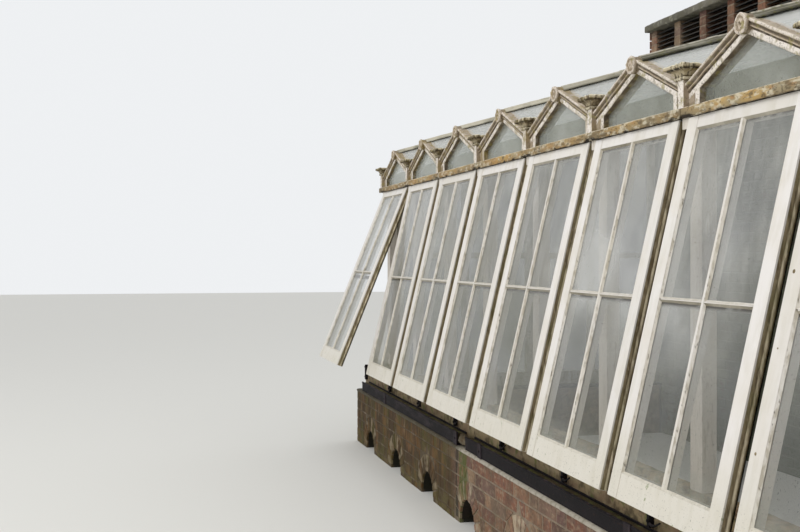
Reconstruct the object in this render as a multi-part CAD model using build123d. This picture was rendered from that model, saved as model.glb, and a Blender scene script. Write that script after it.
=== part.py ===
from build123d import *
import math
import os

# A lean-to glasshouse range: brick dwarf wall, a row of top-hung sashes,
# and a ridge-and-furrow glass roof that rises to a tall brick wall at the back.
# X runs along the range, Y to the back, Z up. Y = 0 is the plane the sashes hang from,
# and the origin is on the ground under the middle bay line. Millimetres.

# Bays
bay_count = 8
bay_pitch = 850
end_margin = 75

# Front wall
front_wall_thickness = 340
front_wall_height = 412
arch_radius = 140
arch_springing = 20
capping_height = 18
capping_overhang = 8

# Sill, posts and head rail
sill_face = 128
sill_front_height = 166
sill_fall = 10
sill_stop_rise = 28
post_width = 90
post_depth = 60
head_block_width = 50
head_block_height = 42
head_block_setback = 6
rail_underside = 2045
rail_height = 35
rail_chamfer = 10
rail_proud = 15

# Sashes
sash_gap = 78
sash_foot_clearance = 16
sash_thickness = 45
stile_width = 80
top_rail_width = 55
bottom_rail_width = 102
glazing_bar_width = 30
sash_transom_width = 20
narrow_tilt = 13.4
wide_tilt = 22.0
wide_sash_count = 1
sash_head_gap = 3
sash_back_gap = 5
hinge_width = 70
hinge_inset = 150
hinge_setback = 4
hinge_depth = 30

# Glazing
rebate_width = 8
rebate_depth = 14
glass_thickness = 4
glass_play = 1.5

# Gables
gable_front = 20
gable_depth = 50
gable_stile = 38
rake_angle = 23
shoulder_rise = 84
rake_drop = 56
rake_band = 30
moulding_proud = 16
moulding_lap = 5
moulding_drop = 26
boss_radius = 36
boss_drop = 4
boss_proud = 37
boss_clearance = 0.3

# Valley posts and their caps
valley_post_width = 68
valley_post_height = 105
cap_neck_side = 4
cap_neck_proud = 7
cap_neck_height = 12
cap_flare_side = 37
cap_flare_proud = 23
cap_flare_height = 30
cap_slab_height = 18
cap_back = 35

# Roof
roof_angle = 15.6
house_depth = 2430
ridge_bar_width = 44
ridge_bar_depth = 85
ridge_glass_gap = 6
gutter_width = 110
gutter_depth = 85
gutter_side = 20
gutter_channel_depth = 28
ridge_flashing_width = 90
ridge_flashing_thickness = 7
ridge_roll_width = 26
ridge_roll_height = 20

# Back wall and its louvred band
back_wall_thickness = 340
back_skin_thickness = 115
flashing_clearance = 10
louvre_sill_height = 25
louvre_sill_overhang = 30
louvre_band_height = 415
pier_width = 100
boards_between_piers = 5
board_depth = 95
board_thickness = 14
board_clearance = 7
eave_height = 60
eave_overhang = 50

# Ends
end_wall_thickness = 225
end_frame_thickness = 60
end_bays = 4
end_post_width = 60
end_sill_height = 110
end_transom_rise = 1070
end_transom_width = 50
end_head_width = 70

# Front gutter and its straps
front_gutter_gap = 4
front_gutter_setback = 5
front_gutter_width = 60
front_gutter_height = 73
front_gutter_wall = 6
gutter_socket_length = 60
gutter_socket_proud = 4
gutter_length = 1830
gutter_left_short = 165
gutter_break_at = -610
gutter_break = 60
strap_width = 20
strap_thickness = 22
strap_height = 122
strap_lift = 2

# Derived places
half_range = bay_count * bay_pitch / 2
outer_end = half_range + end_margin
bay_lines = [-half_range + bay_pitch * n for n in range(bay_count + 1)]
bay_centres = [line + bay_pitch / 2 for line in bay_lines[:-1]]
sash_width = bay_pitch - sash_gap
front_gutter_back = sill_face + front_gutter_gap
front_wall_face = front_gutter_back + front_gutter_width + front_gutter_setback
front_wall_back = front_wall_thickness - front_wall_face
ledge = front_wall_height + capping_height
sill_back_height = sill_front_height + sill_fall
post_front = sash_thickness + sash_back_gap
post_back = post_front + post_depth
post_foot = ledge + sill_back_height + sill_stop_rise
rail_top = rail_underside + rail_height
rake = math.tan(math.radians(rake_angle))
roof_rise = math.tan(math.radians(roof_angle))
gable_back = gable_front + gable_depth
gable_half = bay_pitch / 2 - valley_post_width / 2
light_half = gable_half - gable_stile
apex_height = rail_top + shoulder_rise + gable_half * rake
glass_rise = glass_thickness / math.cos(math.radians(rake_angle))
sash_pivot_height = rail_underside - sash_head_gap
sash_length = sash_pivot_height - ledge - sill_front_height - sash_foot_clearance


def block(x0, x1, y0, y1, z0, z1):
    size = Box(x1 - x0, y1 - y0, z1 - z0)
    return Pos((x0 + x1) / 2, (y0 + y1) / 2, (z0 + z1) / 2) * size


def along_x(outline, x0, x1):
    """A solid whose (y, z) outline runs from x0 to x1."""
    face = Face(Wire.make_polygon([Vector(x0, y, z) for y, z in outline]))
    return Solid.extrude(face, Vector(x1 - x0, 0, 0))


def along_y(outline, y0, y1, slope=0):
    """A solid whose (x, z) outline at y0 runs to y1 and rises by slope."""
    face = Face(Wire.make_polygon([Vector(x, y0, z) for x, z in outline]))
    return Solid.extrude(face, Vector(0, y1 - y0, (y1 - y0) * slope))


def save(node, solids):
    shape = Compound(children=solids) if isinstance(solids, list) else solids
    export_step(shape, f"parts/{node}.step")


def shifted(outline, dx):
    return [(x + dx, z) for x, z in outline]


def roof_line(x, y):
    """Height of the roof glass's underside at x from mid-bay and at y."""
    return apex_height - abs(x) * rake + (y - gable_front) * roof_rise


def valley_gutter_bottom(y):
    outer = bay_pitch / 2 - gutter_width / 2
    return roof_line(outer, y) - gutter_depth


# Glazed frames: lights cut through, a rebate for each pane, and the panes themselves
def glazed_frame(plane, outline, lights, thickness):
    frame = extrude(plane * outline, thickness, dir=plane.z_dir)
    panes = []
    for light in lights:
        rebate = offset(light, rebate_width, kind=Kind.INTERSECTION)
        pane = offset(light, rebate_width - glass_play, kind=Kind.INTERSECTION)
        frame -= extrude(plane * light, thickness, dir=plane.z_dir)
        frame -= extrude(plane * rebate, rebate_depth, dir=plane.z_dir)
        seat = plane.offset(rebate_depth - glass_thickness)
        panes.append(extrude(seat * pane, glass_thickness, dir=plane.z_dir))
    return frame, panes


def polygon_face(points):
    return make_face(Polyline(*points, close=True))


# Masonry
def front_wall():
    wall = block(-outer_end, outer_end, -front_wall_face, front_wall_back, 0, front_wall_height)
    middle = (front_wall_back - front_wall_face) / 2
    for x in bay_centres:
        wall -= Pos(x, middle, arch_springing) * Rot(90, 0, 0) * Cylinder(arch_radius, front_wall_thickness)
        wall -= block(x - arch_radius, x + arch_radius, -front_wall_face, front_wall_back, 0, arch_springing)
    return wall


def wall_capping():
    return block(-outer_end, outer_end, -front_wall_face - capping_overhang, front_wall_back,
                 front_wall_height, ledge)


def end_wall():
    return block(-outer_end, -outer_end + end_wall_thickness, front_wall_back, house_depth,
                 0, front_wall_height)


def end_capping():
    return block(-outer_end, -outer_end + end_wall_thickness, front_wall_back, house_depth,
                 front_wall_height, ledge)


ridge_cap_rise = glass_rise + ridge_flashing_thickness + ridge_roll_height
back_wall_top = roof_line(0, house_depth) + ridge_cap_rise + flashing_clearance
louvre_foot = back_wall_top + louvre_sill_height
louvre_head = louvre_foot + louvre_band_height
back_face = house_depth + back_wall_thickness
skin_front = back_face - back_skin_thickness


def back_wall():
    outline = [
        (house_depth, 0),
        (back_face, 0),
        (back_face, louvre_head),
        (skin_front, louvre_head),
        (skin_front, back_wall_top),
        (house_depth, back_wall_top),
    ]
    return along_x(outline, -outer_end, outer_end)


def louvre_sill():
    return block(-outer_end, outer_end, house_depth - louvre_sill_overhang, skin_front,
                 back_wall_top, louvre_foot)


pier_pitch = bay_pitch / 2
pier_lines = [-half_range + pier_pitch * n for n in range(2 * bay_count + 1)]


def louvre_piers():
    return [
        block(x - pier_width / 2, x + pier_width / 2, house_depth, skin_front,
              louvre_foot, louvre_head)
        for x in pier_lines
    ]


def louvre_boards():
    boards = []
    step = louvre_band_height / boards_between_piers
    board_drop = step - board_thickness - board_clearance
    for x in pier_lines[:-1]:
        for n in range(boards_between_piers):
            foot = louvre_foot + step * n
            outline = [
                (house_depth + board_thickness, foot),
                (house_depth + board_thickness, foot + board_thickness),
                (house_depth + board_depth, foot + board_thickness + board_drop),
                (house_depth + board_depth, foot + board_drop),
            ]
            boards.append(along_x(outline, x + pier_width / 2, x + pier_pitch - pier_width / 2))
    return boards


def eave_coping():
    return block(-outer_end, outer_end, house_depth - eave_overhang, back_face, louvre_head,
                 louvre_head + eave_height)


# Front frame
def front_sill():
    outline = [
        (-sill_face, ledge),
        (-sill_face, ledge + sill_front_height),
        (post_front, ledge + sill_back_height),
        (post_front, post_foot),
        (post_back, post_foot),
        (post_back, ledge),
    ]
    return along_x(outline, -outer_end, outer_end)


def front_posts():
    posts = []
    for x in bay_lines:
        post = block(x - post_width / 2, x + post_width / 2, post_front, post_back,
                     post_foot, rail_underside)
        head = block(x - head_block_width / 2, x + head_block_width / 2, head_block_setback, post_front,
                     rail_underside - head_block_height, rail_underside)
        posts.append(post + head)
    return posts


def head_rail():
    outline = [
        (-rail_proud, rail_underside),
        (-rail_proud, rail_top - rail_chamfer),
        (rail_chamfer - rail_proud, rail_top),
        (post_back, rail_top),
        (post_back, rail_underside),
    ]
    return along_x(outline, -outer_end, outer_end)


# Sashes, hung by their top front edge
def sash_tilt(number):
    return wide_tilt if number < wide_sash_count else narrow_tilt


def sash(number):
    tilt = math.radians(sash_tilt(number))
    plane = Plane(
        origin=(bay_centres[number], 0, sash_pivot_height),
        x_dir=(1, 0, 0),
        z_dir=(0, math.cos(tilt), -math.sin(tilt)),
    )
    half = sash_width / 2
    outline = polygon_face([(-half, 0), (half, 0), (half, sash_length), (-half, sash_length)])
    glazed_length = sash_length - top_rail_width - bottom_rail_width
    light_length = (glazed_length - sash_transom_width) / 2
    inner = glazing_bar_width / 2
    outer = half - stile_width
    lights = []
    for top in (top_rail_width, top_rail_width + light_length + sash_transom_width):
        for left, right in ((-outer, -inner), (inner, outer)):
            lights.append(polygon_face([
                (left, top),
                (right, top),
                (right, top + light_length),
                (left, top + light_length),
            ]))
    return glazed_frame(plane, outline, lights, sash_thickness)


def sash_hinges():
    hinges = []
    for number, centre in enumerate(bay_centres):
        fall = math.tan(math.radians(sash_tilt(number)))
        back = hinge_setback + hinge_depth
        outline = [
            (hinge_setback, rail_underside),
            (back, rail_underside),
            (back, sash_pivot_height - back * fall),
            (hinge_setback, sash_pivot_height - hinge_setback * fall),
        ]
        reach = sash_width / 2 - hinge_inset
        for x in (centre - reach, centre + reach):
            hinges.append(along_x(outline, x - hinge_width / 2, x + hinge_width / 2))
    return hinges


# Gables
def gable_frame(centre):
    outline = [
        (-gable_half, rail_top),
        (-gable_half, apex_height - gable_half * rake),
        (0, apex_height),
        (gable_half, apex_height - gable_half * rake),
        (gable_half, rail_top),
        (light_half, rail_top),
        (light_half, apex_height - rake_drop - light_half * rake),
        (0, apex_height - rake_drop),
        (-light_half, apex_height - rake_drop - light_half * rake),
        (-light_half, rail_top),
    ]
    rebate = [
        (-light_half - rebate_width, rail_top),
        (-light_half - rebate_width, glass_edge(-light_half - rebate_width, rebate_width)),
        (0, glass_edge(0, rebate_width)),
        (light_half + rebate_width, glass_edge(light_half + rebate_width, rebate_width)),
        (light_half + rebate_width, rail_top),
    ]
    frame = along_y(shifted(outline, centre), gable_front, gable_back)
    frame += along_y(shifted(chevron(gable_half, 0, -rake_band), centre), gable_front, gable_back, roof_rise)
    moulding = along_y(shifted(chevron(gable_half, moulding_lap, -moulding_drop), centre),
                       gable_front - moulding_proud, gable_front)
    seat = Pos(centre, gable_front - moulding_proud / 2, apex_height - boss_drop) * Rot(90, 0, 0)
    frame += moulding - seat * Cylinder(boss_radius + boss_clearance, moulding_proud)
    frame -= along_y(shifted(rebate, centre), gable_front, gable_front + rebate_depth)
    return frame


def chevron(half, top, bottom):
    """A band under the rakes, from top to bottom measured plumb from the outer rake."""
    return [
        (-half, apex_height + top - half * rake),
        (0, apex_height + top),
        (half, apex_height + top - half * rake),
        (half, apex_height + bottom - half * rake),
        (0, apex_height + bottom),
        (-half, apex_height + bottom - half * rake),
    ]


def glass_edge(x, lap):
    return apex_height - rake_drop + lap / math.cos(math.radians(rake_angle)) - abs(x) * rake


def gable_glass(centre):
    lap = rebate_width - glass_play
    half = light_half + lap
    outline = [
        (-half, rail_top),
        (-half, glass_edge(half, lap)),
        (0, glass_edge(0, lap)),
        (half, glass_edge(half, lap)),
        (half, rail_top),
    ]
    back = gable_front + rebate_depth
    return along_y(shifted(outline, centre), back - glass_thickness, back)


def gable_boss(centre):
    disc = Cylinder(boss_radius, boss_proud)
    return Pos(centre, gable_front - boss_proud / 2, apex_height - boss_drop) * Rot(90, 0, 0) * disc


def valley_post(x):
    return block(x - valley_post_width / 2, x + valley_post_width / 2, -rail_proud, gable_back,
                 rail_top, rail_top + valley_post_height)


def valley_capital(x):
    foot = rail_top + valley_post_height
    neck_top = foot + cap_neck_height
    flare_top = neck_top + cap_flare_height
    neck_half = valley_post_width / 2 + cap_neck_side
    neck_front = rail_proud + cap_neck_proud
    cap_half = neck_half + cap_flare_side
    cap_front = neck_front + cap_flare_proud
    neck = block(x - neck_half, x + neck_half, -neck_front, cap_back, foot, neck_top)
    low = Pos(x, (cap_back - neck_front) / 2, neck_top) * Rectangle(2 * neck_half, cap_back + neck_front)
    high = Pos(x, (cap_back - cap_front) / 2, flare_top) * Rectangle(2 * cap_half, cap_back + cap_front)
    slab = block(x - cap_half, x + cap_half, -cap_front, cap_back, flare_top, flare_top + cap_slab_height)
    return neck + loft([low.face(), high.face()], ruled=True) + slab


# Roof: every member runs up the slope from the gables to the back wall
def valley_gutter(x):
    edge = bay_pitch / 2
    outer = gutter_width / 2
    channel = outer - gutter_side
    bottom = valley_gutter_bottom(gable_back)
    channel_bottom = roof_line(edge - channel, gable_back) - gutter_channel_depth
    outline = [
        (-outer, bottom),
        (-outer, roof_line(edge - outer, gable_back)),
        (-channel, roof_line(edge - channel, gable_back)),
        (-channel, channel_bottom),
        (channel, channel_bottom),
        (channel, roof_line(edge - channel, gable_back)),
        (outer, roof_line(edge - outer, gable_back)),
        (outer, bottom),
    ]
    return along_y(shifted(outline, x), gable_back, house_depth, roof_rise)


def ridge_bar(centre):
    half = ridge_bar_width / 2
    outline = [
        (-half, roof_line(0, gable_back) - ridge_bar_depth),
        (-half, roof_line(half, gable_back)),
        (0, roof_line(0, gable_back)),
        (half, roof_line(half, gable_back)),
        (half, roof_line(0, gable_back) - ridge_bar_depth),
    ]
    return along_y(shifted(outline, centre), gable_back, house_depth, roof_rise)


def ridge_cap(centre):
    half = ridge_flashing_width / 2
    roll = ridge_roll_width / 2
    under = glass_rise
    over = glass_rise + ridge_flashing_thickness
    outline = [
        (-half, roof_line(half, gable_front) + under),
        (-half, roof_line(half, gable_front) + over),
        (-roll, roof_line(roll, gable_front) + over),
        (-roll, roof_line(roll, gable_front) + over + ridge_roll_height),
        (roll, roof_line(roll, gable_front) + over + ridge_roll_height),
        (roll, roof_line(roll, gable_front) + over),
        (half, roof_line(half, gable_front) + over),
        (half, roof_line(half, gable_front) + under),
        (0, roof_line(0, gable_front) + under),
    ]
    return along_y(shifted(outline, centre), gable_front, house_depth, roof_rise)


def roof_pane(centre, side):
    near = ridge_glass_gap
    far = gable_half - glass_play
    outline = [
        (side * near, roof_line(near, gable_front)),
        (side * near, roof_line(near, gable_front) + glass_rise),
        (side * far, roof_line(far, gable_front) + glass_rise),
        (side * far, roof_line(far, gable_front)),
    ]
    return along_y(shifted(outline, centre), gable_front, house_depth, roof_rise)


# Glazed ends
def end_frame():
    plane = Plane(
        origin=(-half_range - end_frame_thickness / 2, 0, 0),
        x_dir=(0, 1, 0),
        z_dir=(1, 0, 0),
    )
    outline = polygon_face([
        (post_back, ledge),
        (house_depth, ledge),
        (house_depth, valley_gutter_bottom(house_depth)),
        (post_back, valley_gutter_bottom(post_back)),
    ])
    clear = (house_depth - post_back - (end_bays + 1) * end_post_width) / end_bays
    transom_foot = ledge + end_transom_rise
    transom_top = transom_foot + end_transom_width
    lights = []
    for n in range(end_bays):
        front = post_back + end_post_width + n * (clear + end_post_width)
        back = front + clear
        lights.append(polygon_face([
            (front, ledge + end_sill_height),
            (back, ledge + end_sill_height),
            (back, transom_foot),
            (front, transom_foot),
        ]))
        lights.append(polygon_face([
            (front, transom_top),
            (back, transom_top),
            (back, valley_gutter_bottom(back) - end_head_width),
            (front, valley_gutter_bottom(front) - end_head_width),
        ]))
    return glazed_frame(plane, outline, lights, end_frame_thickness)


# Rainwater gutter on the ledge, with one length broken away
def gutter_run(x0, x1):
    back = -front_gutter_back
    front = back - front_gutter_width
    top = ledge + front_gutter_height
    run = block(x0, x1, front, back, ledge, top)
    joint = x1 - gutter_socket_length
    while joint > x0:
        run += block(joint, joint + gutter_socket_length, front - gutter_socket_proud, back,
                     ledge, top + gutter_socket_proud)
        joint -= gutter_length
    run -= block(x0, x1, front + front_gutter_wall, back - front_gutter_wall,
                 ledge + front_gutter_wall, top + gutter_socket_proud)
    return run


def gutter_strap(x):
    foot = ledge + front_gutter_height + gutter_socket_proud + strap_lift
    return block(x - strap_width / 2, x + strap_width / 2, -sill_face - strap_thickness, -sill_face,
                 foot, foot + strap_height)


os.makedirs("parts", exist_ok=True)

left_wall = end_wall()
left_capping = end_capping()
left_frame, left_panes = end_frame()

save("front_wall", front_wall())
save("wall_capping", wall_capping())
save("end_wall_left", left_wall)
save("end_wall_right", mirror(left_wall, about=Plane.YZ))
save("end_cappings", [left_capping, mirror(left_capping, about=Plane.YZ)])
save("back_wall", back_wall())
save("louvre_sill", louvre_sill())
save("louvre_piers", louvre_piers())
save("louvre_boards", louvre_boards())
save("eave_coping", eave_coping())

save("front_sill", front_sill())
save("front_posts", front_posts())
save("head_rail", head_rail())
save("front_gutter", [
    gutter_run(-outer_end + gutter_left_short, gutter_break_at - gutter_break / 2),
    gutter_run(gutter_break_at + gutter_break / 2, outer_end),
])
save("gutter_straps", [gutter_strap(x) for x in bay_lines])

for number in range(bay_count):
    frame, panes = sash(number)
    save(f"sash_frame_{number + 1}", frame)
    save(f"sash_glass_{number + 1}", panes)
save("sash_hinges", sash_hinges())

save("gable_frames", [gable_frame(x) for x in bay_centres])
save("gable_glass", [gable_glass(x) for x in bay_centres])
save("gable_bosses", [gable_boss(x) for x in bay_centres])
save("valley_posts", [valley_post(x) for x in bay_lines])
save("valley_capitals", [valley_capital(x) for x in bay_lines])

save("valley_gutters", [valley_gutter(x) for x in bay_lines])
save("ridge_bars", [ridge_bar(x) for x in bay_centres])
save("ridge_caps", [ridge_cap(x) for x in bay_centres])
save("roof_glass_left", [roof_pane(x, -1) for x in bay_centres])
save("roof_glass_right", [roof_pane(x, 1) for x in bay_centres])

save("end_frame_left", left_frame)
save("end_frame_right", mirror(left_frame, about=Plane.YZ))
save("end_glass", left_panes + [mirror(pane, about=Plane.YZ) for pane in left_panes])
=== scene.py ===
import bpy
import bmesh
import math
import random
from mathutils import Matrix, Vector, noise


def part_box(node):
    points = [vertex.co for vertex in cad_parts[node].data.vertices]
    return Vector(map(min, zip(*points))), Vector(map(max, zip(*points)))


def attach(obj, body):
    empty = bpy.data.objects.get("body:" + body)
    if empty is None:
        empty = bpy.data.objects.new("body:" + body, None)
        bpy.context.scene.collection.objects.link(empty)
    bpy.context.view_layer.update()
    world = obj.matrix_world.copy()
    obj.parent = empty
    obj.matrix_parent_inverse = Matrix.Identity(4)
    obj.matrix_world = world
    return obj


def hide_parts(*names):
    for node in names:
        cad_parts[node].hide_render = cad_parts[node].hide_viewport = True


# Lean-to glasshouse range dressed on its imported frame. Metres, Z up, sashes towards -Y.
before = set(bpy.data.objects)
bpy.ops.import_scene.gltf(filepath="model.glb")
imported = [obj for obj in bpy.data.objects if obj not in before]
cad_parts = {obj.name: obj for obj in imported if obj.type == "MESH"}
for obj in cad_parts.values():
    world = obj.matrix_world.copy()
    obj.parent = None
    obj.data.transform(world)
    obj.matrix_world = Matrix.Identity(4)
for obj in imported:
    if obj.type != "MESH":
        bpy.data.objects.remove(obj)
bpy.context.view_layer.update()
noise.seed_set(3)  # or else noise_vector takes its offsets from the clock
print("frame loaded:", len(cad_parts), "nodes")

# Bays read from the frame
sashCount = sum(node.startswith("sash_frame_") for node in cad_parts)
sashBoxes = [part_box(f"sash_frame_{n + 1}") for n in range(sashCount)]
bayCentres = [(low.x + high.x) / 2 for low, high in sashBoxes]
bayPitch = bayCentres[1] - bayCentres[0]
bayLines = [bayCentres[0] - bayPitch / 2 + bayPitch * n for n in range(sashCount + 1)]
wallLow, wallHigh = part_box("front_wall")
railLow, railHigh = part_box("head_rail")


# Colours, nodes and finishes
def hexColour(code):
    parts = [int(code[i:i + 2], 16) / 255 for i in (1, 3, 5)]
    return [p / 12.92 if p < 0.04045 else ((p + 0.055) / 1.055) ** 2.4 for p in parts] + [1.0]


def addNode(tree, kind, links=None, **settings):
    node = tree.nodes.new("ShaderNode" + kind)
    for name, value in settings.items():
        setattr(node, name, value)
    for socket, value in (links or {}).items():
        if isinstance(value, bpy.types.NodeSocket):
            tree.links.new(value, node.inputs[socket])
        else:
            node.inputs[socket].default_value = value
    return node


def spread(tree, place, size, stretch=(1, 1, 1)):
    # noise whose patches are about this many metres across, drawn out by stretch
    moved = addNode(tree, "Mapping", {"Vector": place, "Scale": [1 / (size * s) for s in stretch]})
    cloud = addNode(tree, "TexNoise", {"Vector": moved.outputs[0], "Scale": 1.0, "Detail": 4.0})
    return cloud.outputs[0]


def coat(colour, size=None, cover=0.5, soft=0.05, amount=1.0, **where):
    # a layer of paint or weather: the size of its patches in metres, the share they cover, how
    # softly they end and how strong they are. Then the stretch of its patches, the marks, slopes
    # (up) and spans that it keeps to, and its own roughness or film
    return {"colour": colour, "size": size, "cover": cover, "soft": soft, "amount": amount, **where}


def layerMask(tree, place, layer):
    parts = []
    if layer["size"]:
        patch = spread(tree, place, layer["size"], layer.get("stretch", (1, 1, 1)))
        edge = 0.5 + (0.5 - layer["cover"]) * 0.4  # noise gathers round 0.5
        ends = {0: patch, 1: edge - layer["soft"], 2: edge + layer["soft"]}
        parts.append(addNode(tree, "MapRange", ends).outputs[0])
    for mark in layer.get("marks", ()):
        parts.append(addNode(tree, "Attribute", attribute_name=mark).outputs["Fac"])
    if "up" in layer:
        normal = addNode(tree, "NewGeometry").outputs["Normal"]
        slope = addNode(tree, "SeparateXYZ", {0: normal}).outputs[2]
        low, high = layer["up"]
        parts.append(addNode(tree, "MapRange", {0: slope, 1: low, 2: high}).outputs[0])
    for axis, start, end in layer.get("spans", ()):
        along = addNode(tree, "SeparateXYZ", {0: place}).outputs[axis]
        parts.append(addNode(tree, "MapRange", {0: along, 1: start, 2: end}).outputs[0])
    mask = parts[0]
    for part in parts[1:]:
        mask = addNode(tree, "Math", {0: mask, 1: part}, operation="MULTIPLY").outputs[0]
    if layer["amount"] < 1:
        mask = addNode(tree, "Math", {0: mask, 1: layer["amount"]}, operation="MULTIPLY").outputs[0]
    return mask


def blankMaterial(name):
    finish = bpy.data.materials.new(name)
    finish.use_nodes = True
    finish.node_tree.nodes.clear()
    return finish, finish.node_tree


def makeFinish(name, colours, rough, layers=(), grain=(), metal=0.0, gloss=0.5):
    # colours run over each face's tone; layers go on in order; grain is (size, depth, stretch),
    # and the stretch may be left out
    finish, tree = blankMaterial(name)
    place = addNode(tree, "TexCoord").outputs["Object"]
    colour = hexColour(colours[0])
    if len(colours) > 1:
        tone = addNode(tree, "Attribute", attribute_name="tone").outputs["Fac"]
        ramp = addNode(tree, "ValToRGB", {0: tone})
        points = ramp.color_ramp.elements
        points[0].color, points[1].color = hexColour(colours[0]), hexColour(colours[-1])
        for index, code in enumerate(colours[1:-1], 1):
            points.new(index / (len(colours) - 1)).color = hexColour(code)
        colour = ramp.outputs[0]
    for layer in layers:
        mask = layerMask(tree, place, layer)
        mixed = {0: mask, 6: colour, 7: hexColour(layer["colour"])}
        colour = addNode(tree, "Mix", mixed, data_type="RGBA").outputs[2]
        if "rough" in layer:
            rough = addNode(tree, "Mix", {0: mask, 2: rough, 3: layer["rough"]}).outputs[0]
    bumps = {}
    for size, depth, *stretch in grain:
        relief = {"Height": spread(tree, place, size, *stretch), "Distance": depth, **bumps}
        bumps = {"Normal": addNode(tree, "Bump", relief).outputs[0]}
    surface = {"Base Color": colour, "Roughness": rough, "Metallic": metal, "Specular IOR Level": gloss}
    shader = addNode(tree, "BsdfPrincipled", {**surface, **bumps})
    addNode(tree, "OutputMaterial", {"Surface": shader.outputs[0]})
    return finish


# Sashes: linseed oil gloss over softwood, brushed on. Creamy white with a dull sheen; the
# unpainted edges have gone brown-grey, and the foot rails are specked with algae.
glossOnSoftwood = makeFinish("glossOnSoftwood", ["#787059", "#C6BFB2", "#DAD5CE", "#E4DFDA"], 0.5, [
    coat("#D6CEC0", 0.16, 0.45, 0.14, 0.55),
    coat("#D2CCBC", spans=[(2, 0.95, 0.75)], amount=0.7),
    coat("#B9B29C", 0.03, 0.30, 0.12, 0.25, stretch=(1, 1, 9)),
    coat("#A69D8A", 0.016, 0.42, 0.08, 0.75, stretch=(1, 1, 3), marks=["joint"], rough=0.8),
    coat("#4F4838", 0.007, 0.12, 0.04, 0.8, stretch=(1, 1, 4), marks=["joint"]),
    coat("#5A5645", 0.006, 0.09, 0.03, 0.7, spans=[(2, 0.85, 0.70)]),
    coat("#6A7A35", 0.030, -0.02, 0.03, 0.8, spans=[(2, 0.80, 0.72)]),
    coat("#807052", marks=["bare"], rough=0.9),
    # pale where a bare edge's tone is high: the painted highlight along the bead's crown
    coat("#CFC2A6", marks=["bare", "tone"]),
    coat("#5A4C33", 0.014, 0.40, 0.06, 0.7, stretch=(1, 1, 7), marks=["bare"]),
    coat("#A89A7C", 0.008, 0.26, 0.04, 0.6, stretch=(1, 1, 4), marks=["bare"]),
    coat("#6B6838", 0.08, 0.34, 0.1, 0.4, marks=["bare"]),
], grain=[(0.004, 0.0004, (1, 1, 14)), (0.05, 0.0010)])

# Posts behind the sashes: an older coat on planed softwood, chalky pinkish white, that has
# streaked brown where the water runs down its face.
postPaint = makeFinish("postPaint", ["#D9D1C6"], 0.62, [
    coat("#BDB29E", 0.05, 0.36, 0.12, 0.4, stretch=(1, 1, 5)),
    coat("#8C7C62", 0.010, 0.18, 0.06, 0.4, stretch=(1, 1, 6), rough=0.85),
    coat("#8F7F62", spans=[(1, 0.040, 0.020), (2, 1.92, 1.72)], amount=0.6),
], grain=[(0.004, 0.0006, (1, 1, 12))])

# Gables, valley posts and bosses: the same paint left for decades. Only the fillets are
# still white; the hollows between are bare timber, stained brown and dotted with lichen, and
# toned darker in the grooves, reveals and flanks as painted shade.
perishedPaint = makeFinish("perishedPaint", ["#352B1E", "#7E6E58", "#BDAC97", "#E8DFD5"], 0.7, [
    coat("#8A7C60", 0.018, 0.26, 0.06, 0.6, rough=0.85),
    coat("#D2C9B8", 0.040, 0.26, 0.08, 0.35),
    coat("#948A4F", 0.030, 0.22, 0.05, 0.65, rough=0.9),
    coat("#8E793E", 0.045, 0.38, 0.08, 0.55, stretch=(1, 1, 2), spans=[(0, 1.50, 0.60)], rough=0.9),
    coat("#3F3727", 0.006, 0.17, 0.04, 0.8, rough=0.9),
], grain=[(0.004, 0.0012, (1, 1, 5)), (0.018, 0.0020)])

# Head rail: oak that has lost its paint and grown a golden crust of lichen, matt and rough.
# Its top is toned pale as a painted highlight, and its under side near-black as painted shadow.
lichenedOak = makeFinish("lichenedOak", ["#2A2117", "#7C6D52", "#998B6D", "#A88F5C"], 0.9, [
    coat("#BF9850", 0.070, 0.54, 0.12, 0.85, stretch=(2.5, 1, 1), marks=["joint"]),
    coat("#A57440", 0.020, 0.20, 0.05, 0.75, stretch=(3, 1, 1), marks=["joint"]),
    coat("#CFC6AE", 0.024, 0.36, 0.05, 0.7, stretch=(2, 1, 0.7)),
    coat("#5E5038", 0.024, 0.26, 0.05, 0.75, stretch=(2, 1, 1)),
    coat("#A5793A", 0.060, 0.42, 0.08, 0.65, stretch=(3, 1, 1), marks=["joint"],
         spans=[(0, 1.30, 0.30)]),
    coat("#4D3A1E", 0.030, 0.34, 0.06, 0.8, stretch=(3, 1, 1),
         spans=[(0, 1.30, 0.30), (2, 2.03, 2.01)]),
    # pale on upward faces: painted highlight along the lit top
    coat("#DDD4BE", up=(0.35, 0.9), amount=0.8),
    coat("#4A3D29", 0.009, 0.2, 0.05, 0.7, stretch=(2, 1, 1)),
], grain=[(0.006, 0.0014, (2, 1, 1)), (0.04, 0.0024, (2, 1, 1))])

# Capitals: turned and moulded softwood gone soft, olive-brown with moss, pale on the top where the
# rain beats and as a painted highlight, and near-black under the slab as painted shadow.
mossedSoftwood = makeFinish("mossedSoftwood", ["#1E170E", "#7A6B4C", "#B4A688", "#DED5BE"], 0.92, [
    coat("#2A2215", 0.012, 0.32, 0.05, 0.85, stretch=(1, 1, 4)),
    coat("#C3B89C", 0.012, 0.30, 0.05, 0.8, stretch=(1, 1, 5)),
    coat("#85763D", 0.030, 0.26, 0.06, 0.6),
    coat("#4B3B1F", 0.022, 0.52, 0.08, 0.75, stretch=(1, 1, 3), spans=[(0, 1.50, 1.00)]),
    # pale on upward faces: rain-bleached, and a painted highlight
    coat("#DDD3B4", up=(0.3, 0.85), amount=0.85),
], grain=[(0.006, 0.0030, (1, 1, 3)), (0.02, 0.0040)])

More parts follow.
